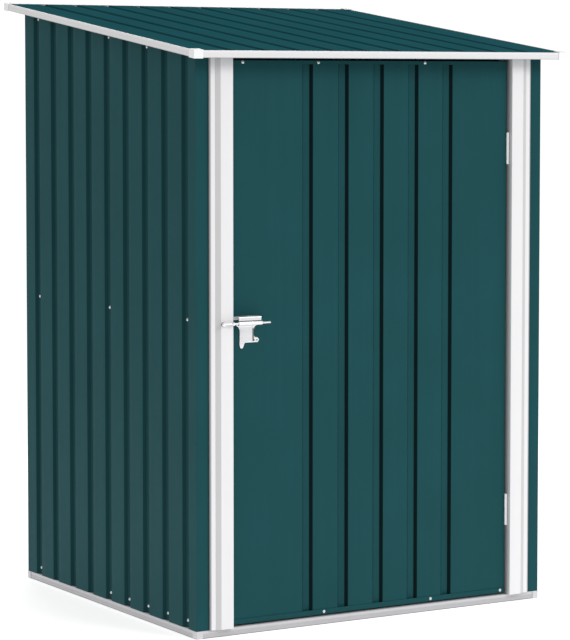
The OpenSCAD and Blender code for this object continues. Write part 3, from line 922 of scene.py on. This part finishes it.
def screw_set(name, places, body):
    """Screws and washers at (place, normal) pairs, as one mesh each."""
    heads, washers = bmesh.new(), bmesh.new()
    for i, (place, normal) in enumerate(places):
        add_washer(washers, facing(place, normal))
        add_screw(heads, facing(place + Vector(normal) * WASHER_HEIGHT, normal, spin=1.7 * i))
    for shape, kind, finish, slot in (
        (heads, "screws", bright_zinc, "zinc"),
        (washers, "washers", white_plastic, "white_plastic"),
    ):
        add_piece(f"{name}_{kind}", mesh_from(shape, f"{name}_{kind}"), finish, body)
    print(name, len(places), "screws")


# %% [markdown]
# Where the screws go follows the rails behind the sheet. They sit in the beds of the ribs, close
# together along the foot of a wall, further apart at the middle rail and under the roof.

# %% Screws of the walls and the roof
RIB_DEPTH = 7 * MM
FOOT_ROW = 39 * MM
MIDDLE_ROW = 793 * MM
TOP_ROW = 30 * MM
BACK_TOP_ROW = 12 * MM
FRONT_EAVES = 75 * MM
BACK_EAVES = 62 * MM
FOOT_RIBS = (1, 2, 3, 4, 5, 9)
MIDDLE_RIBS = (1, 5, 9)
TOP_RIBS = (3, 5, 9)


def roof_line(y, below):
    """Height of the line that lies below the roof's top plane, at depth y."""
    return (trim_top - below + y * math.sin(SLOPE)) / math.cos(SLOPE)


def picked(ribs, numbers):
    """The ribs with these numbers, counted from 1, where they exist."""
    return [ribs[number - 1] for number in numbers if number <= len(ribs)]


shed_screws = []
for normal, ribs, across in ((-X, left_ribs[::-1], -Y), (X, right_ribs, Y)):
    wall = normal * (side_x - RIB_DEPTH)
    for rib in picked(ribs, FOOT_RIBS):
        shed_screws.append((wall + across * rib + Z * FOOT_ROW, normal))
    for rib in picked(ribs, MIDDLE_RIBS):
        shed_screws.append((wall + across * rib + Z * MIDDLE_ROW, normal))
    for rib in picked(ribs, TOP_RIBS):
        y = (across * rib).y
        shed_screws.append((wall + across * rib + Z * roof_line(y, TOP_ROW), normal))
back_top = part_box("back_wall")[1].z - BACK_TOP_ROW
for rib in back_ribs[::2]:
    place = Y * (back_y - RIB_DEPTH) - X * rib
    shed_screws += [(place + Z * height, Y) for height in (FOOT_ROW, MIDDLE_ROW, back_top)]
roof_low, roof_high = reach("roof_sheet", UPHILL)
bed = reach("roof_sheet", ROOF_NORMAL)[1] - RIB_DEPTH
for rib in roof_ribs[::2]:
    for uphill in (roof_low + FRONT_EAVES, (roof_low + roof_high) / 2, roof_high - BACK_EAVES):
        shed_screws.append((X * rib + UPHILL * uphill + ROOF_NORMAL * bed, ROOF_NORMAL))
screw_set("shed", shed_screws, "shed")

# %% [markdown]
# The door has three screws in its top channel and three in its bottom channel. They aren't evenly
# spread, so their places across the door are listed.

# %% Screws of the door
DOOR_BANDS = {"door_top_channel": (-385, -165, 158), "door_bottom_channel": (-147, 181, 404)}

door_screws = []
for node, across in DOOR_BANDS.items():
    low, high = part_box(node)
    door_screws += [(Vector((x * MM, low.y, (low.z + high.z) / 2)), -Y) for x in across]
screw_set("door", door_screws, "door")

# %% [markdown]
# A plug stands on each roof cap, over the screw that holds the cap to the trim. It is a small moulded
# dome, and the lathe that made the washers makes it too.

# %% Plugs on the roof caps
PLUG_RADIUS = 3.2 * MM
PLUG_HEIGHT = 2.0 * MM
PLUG_IN = 11 * MM

shape = bmesh.new()
cap_top = reach("roof_corner_caps", ROOF_NORMAL)[1]
angles = [math.radians(degrees) for degrees in (0, 30, 60, 80)]
dome = [(PLUG_RADIUS * math.cos(angle), PLUG_HEIGHT * math.sin(angle)) for angle in angles]
for x in (-trim_x + PLUG_IN, trim_x - PLUG_IN):
    for uphill in (trim_low + PLUG_IN, trim_high - PLUG_IN):
        at = facing(X * x + UPHILL * uphill + ROOF_NORMAL * cap_top, ROOF_NORMAL)
        lathe(shape, [(0, 0), *dome, (0, PLUG_HEIGHT)], at)
name = "roof_cap_plugs"
add_piece(name, mesh_from(shape, name), white_plastic, "shed")
print(name, round(PLUG_HEIGHT / MM, 1), "mm high")

# %% [markdown]
# ## The latch
#
# The latch is a small white fitting: a plate with a tongue and a drilled ear, a shelf that carries the
# barrel, and a hood over it. The plate is easiest as a flat curve. A curve takes an outline and
# round holes as they are, and its own extrusion and bevel give the thickness and the soft rim. The
# flanks of so small a fitting look much darker than its face, so a shade is painted on each point by how
# far it turns away from the face. That paints a dark rim round each small part.

# %% Latch plate
LATCH_RIM = 0.35 * MM
HOLE_SIDES = 20
PLATE_THICK = 2.0 * MM
# Painted shade on the flanks of the latch's small parts.
FLANK_SHADE = 0.85
PLATE_IN = 18.75 * MM
BAR_THICK = 1.4 * MM
BARS_X = ((0.4, 3.2), (37.6, 40.2))
BAR_FOOT, BAR_START, BAR_TOP = -48, -30, -16
BAR_ROUND = 1.0
PLATE_ROUND = 2.5
PLATE_OUTLINE = [
    (21, -3), (51, -3), (50, -8), (43, -12), (41, -20), (40.5, -33), (44, -38), (52, -39), (57, -45),
    (52, -51), (15, -51), (12.5, -57), (9, -65), (3, -65), (0, -56), (0, -20), (-3, -12), (-10, -7),
    (-10, -3), (21, -3),
]
EAR_HOLES = ((42, -45.5, 1.9), (50, -45.5, 1.9))
PLATE_SCREWS = ((7, -41), (7, -51), (37, -13))

rod_low, rod_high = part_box("slide_bolt")
rod = (rod_low + rod_high) / 2
sheet_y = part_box("door_sheet")[0].y
barrel_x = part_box("latch_plate")[0].x
plate_x = barrel_x + PLATE_IN
stand = sheet_y - rod.y


def flat_plate(name, outline, holes, thickness, x, y, z):
    """An upright plate facing -Y, its back at y: outline and holes in millimetres from (x, z)."""
    curve = bpy.data.curves.new(name, "CURVE")
    curve.dimensions = "2D"
    curve.fill_mode = "BOTH"
    curve.extrude = thickness / 2 - LATCH_RIM
    curve.bevel_depth = LATCH_RIM
    curve.bevel_resolution = 2
    curve.offset = -LATCH_RIM
    loops = [outline[:-1]]
    for hole_x, hole_z, radius in holes:
        turns = [2 * math.pi * i / HOLE_SIDES for i in range(HOLE_SIDES)]
        loops.append([(hole_x + radius * math.cos(a), hole_z + radius * math.sin(a)) for a in turns])
    for loop in loops:
        spline = curve.splines.new("POLY")
        spline.points.add(len(loop) - 1)
        for point, spot in zip(spline.points, loop):
            point.co = (spot[0] * MM, spot[1] * MM, 0, 1)
        spline.use_cyclic_u = True
    drawn = bpy.data.objects.new(name, curve)
    bpy.context.scene.collection.objects.link(drawn)
    bpy.context.view_layer.update()
    solid = drawn.evaluated_get(bpy.context.evaluated_depsgraph_get())
    mesh = bpy.data.meshes.new_from_object(solid)
    bpy.data.objects.remove(drawn)
    bpy.data.curves.remove(curve)
    upright = Matrix.Rotation(math.pi / 2, 4, "X")
    mesh.transform(Matrix.Translation((x, y - thickness / 2, z)) @ upright)
    return mesh


def add_fitting(name, mesh, body, node):
    """A white fitting with painted shade, kept in fold, on flanks that turn away from the door's face.
    """
    mesh = add_piece(name, mesh, white_fitting, body, node).data
    turned_away = [min(1.0, max(0.0, 1.2 - 2 * abs(vertex.normal.y))) for vertex in mesh.vertices]
    folds = [FLANK_SHADE * share for share in turned_away]
    mesh.attributes.new("fold", "FLOAT", "POINT").data.foreach_set("value", folds)


outline = [(point.x, point.y) for point in rounded(PLATE_OUTLINE, PLATE_ROUND, 3)]
name = "latch_plate_face"
mesh = flat_plate(name, outline, EAR_HOLES, PLATE_THICK, plate_x, sheet_y, rod.z)
add_fitting(name, mesh, "door", "latch_plate")
for number, (left, right) in enumerate(BARS_X, 1):
    bar = [
        (left, BAR_START), (left, BAR_TOP), (right, BAR_TOP), (right, BAR_FOOT), (left, BAR_FOOT),
        (left, BAR_START),
    ]
    bar = [(point.x, point.y) for point in rounded(bar, BAR_ROUND, 2)]
    name = f"latch_rib_{number}"
    mesh = flat_plate(name, bar, (), BAR_THICK, plate_x, sheet_y - PLATE_THICK + LATCH_RIM, rod.z)
    add_fitting(name, mesh, "door", "latch_plate")
print("latch plate", round(plate_x, 4), "stands", round(stand / MM, 1), "mm off the rod")

# %% [markdown]
# The hood and the shelf are bent plate, so they are folded strips like the trims, only thicker and
# short. The barrel is a tube: a closed profile turned on the lathe gives its bore and its rounded end.

# %% Latch hood, shelf and barrel
HOOD_FOOT = 7 * MM
HOOD_TOP = 17 * MM
HOOD_LIP = 10 * MM
HOOD_OVER = 4 * MM
HOOD_LENGTH = 64 * MM
SHELF_FOOT = -9 * MM
SHELF_TOP = -2 * MM
SHELF_LENGTH = 45 * MM
FITTING_SHEET = 2 * MM
FITTING_BEND = 2.6 * MM
FITTING_EDGE = 0.4 * MM
BARREL_PROFILE = [
    (2.95, 0), (4.9, 0), (5.35, 0.25), (5.5, 0.8), (5.5, 65.5), (5.2, 67.5), (4.4, 69.3), (3.6, 70),
    (2.95, 70),
]
ROUND = 40


def latch_place(x):
    """A place function for a profile drawn as (out from the door, up from the rod)."""
    return lambda u, w, s: Vector((x + s, sheet_y - u, rod.z + w))


def latch_fold(name, path, x, length):
    """A folded part of the latch that runs along the door."""
    piece = folded_strip(
        name, path, FITTING_BEND, FITTING_SHEET, latch_place(x), lambda u, w: (0, length),
        white_fitting, "latch_plate",
    )
    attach(piece, "door")
    soften = piece.modifiers.new("soft_rim", "BEVEL")
    soften.width = FITTING_EDGE
    soften.segments = 2
    soften.angle_limit = math.radians(40)


def turned_along_x(name, profile, x, body, node, closed=False):
    """A fitting turned about the bolt's axis: its profile, in millimetres, starts at x."""
    shape = bmesh.new()
    at = Matrix.Translation((x, rod.y, rod.z)) @ Matrix.Rotation(math.pi / 2, 4, "Y")
    lathe(shape, [(r * MM, h * MM) for r, h in profile], at, segments=ROUND, closed=closed)
    add_fitting(name, mesh_from(shape, name), body, node)


front = stand + HOOD_OVER
hood = [(0, HOOD_FOOT), (0, HOOD_TOP), (front, HOOD_TOP), (front, HOOD_TOP - HOOD_LIP)]
shelf = [(PLATE_THICK, SHELF_FOOT), (PLATE_THICK, SHELF_TOP), (stand - HOOD_OVER, SHELF_TOP)]
latch_fold("latch_hood", hood, barrel_x, HOOD_LENGTH)
latch_fold("latch_shelf", shelf, plate_x, SHELF_LENGTH)
turned_along_x("latch_barrel", BARREL_PROFILE, barrel_x, "door", "latch_plate", closed=True)
print("hood stands", round(front / MM, 1), "mm out of the door")

# %% [markdown]
# Three small screws hold the plate. They are the same screw as before, made smaller by a scale in its
# matrix, and each is turned a little further, since no one lines up their crosses.

# %% Latch screws
LATCH_SCREW_SCALE = 0.7

shape = bmesh.new()
for number, (x, z) in enumerate(PLATE_SCREWS):
    place = Vector((plate_x + x * MM, sheet_y - PLATE_THICK, rod.z + z * MM))
    at = facing(place, -Y, spin=0.9 * number) @ Matrix.Scale(LATCH_SCREW_SCALE, 4)
    add_screw(shape, at)
name = "latch_screws"
add_piece(name, mesh_from(shape, name), bright_zinc, "door")
print(name, len(PLATE_SCREWS))

# %% [markdown]
# ### The slide bolt
#
# The bolt is turned from one rod, so it is turned here as well: a half outline goes round the axis.
# The ball runs into its neck with a small fillet, and the collar flares before the barrel.

# %% Slide bolt
BALL = 6.5
BALL_STEPS = 14
ROD = 2.75

neck = math.pi - math.asin(ROD / BALL)
angles = [neck * i / BALL_STEPS for i in range(BALL_STEPS + 1)]
ball = [(BALL * math.sin(angle), -BALL * math.cos(angle)) for angle in angles]
ball_end = ball[-1][1]
shaft = (rod_high.x - rod_low.x) / MM - BALL
fillet = [(ROD + 0.05, ball_end + 0.5), (ROD, ball_end + 1.4)]
collar = [
    (ROD, 20), (3.1, 22.5), (4.0, 25.5), (4.8, 28.5), (4.95, 29.2), (4.95, 30.2), (4.6, 30.8), (ROD, 31),
]
tip = [(ROD, shaft - 0.9), (ROD - 0.25, shaft - 0.3), (ROD - 0.9, shaft), (0, shaft)]
ball_x = rod_low.x + BALL * MM
turned_along_x("slide_bolt_turned", ball + fillet + collar + tip, ball_x, "bolt", "slide_bolt")
print("bolt", round(shaft, 1), "mm of rod")

# %% [markdown]
# ### Hinge screws
#
# The hinge leaves lie flat against the door's edge and the jamb, so their screws are small and low.

# %% Hinge screws
HINGE_SCREWS = (0.16, 0.5, 0.84)
HINGE_HEIGHT = 83 * MM
HINGE_SCREW_IN = 6 * MM
HINGE_SCREW_SCALE = 0.5
LEAF_SHEET = 1.2 * MM

frame_leaf_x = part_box("hinge_frame_leaves")[1].x - LEAF_SHEET
door_leaf_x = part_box("door_top_channel")[1].x + LEAF_SHEET
for node, body, normal, leaf_x in (
    ("hinge_frame_leaves", "shed", -X, frame_leaf_x),
    ("hinge_door_leaves", "door", X, door_leaf_x),
):
    low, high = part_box(node)
    shape = bmesh.new()
    for leaf_z in (low.z, high.z - HINGE_HEIGHT):
        for share in HINGE_SCREWS:
            place = Vector((leaf_x, high.y - HINGE_SCREW_IN, leaf_z + share * HINGE_HEIGHT))
            add_screw(shape, facing(place, normal, spin=share) @ Matrix.Scale(HINGE_SCREW_SCALE, 4))
    name = node + "_screws"
    add_piece(name, mesh_from(shape, name), bright_zinc, body)
print("hinge screws", len(HINGE_SCREWS) * 4)
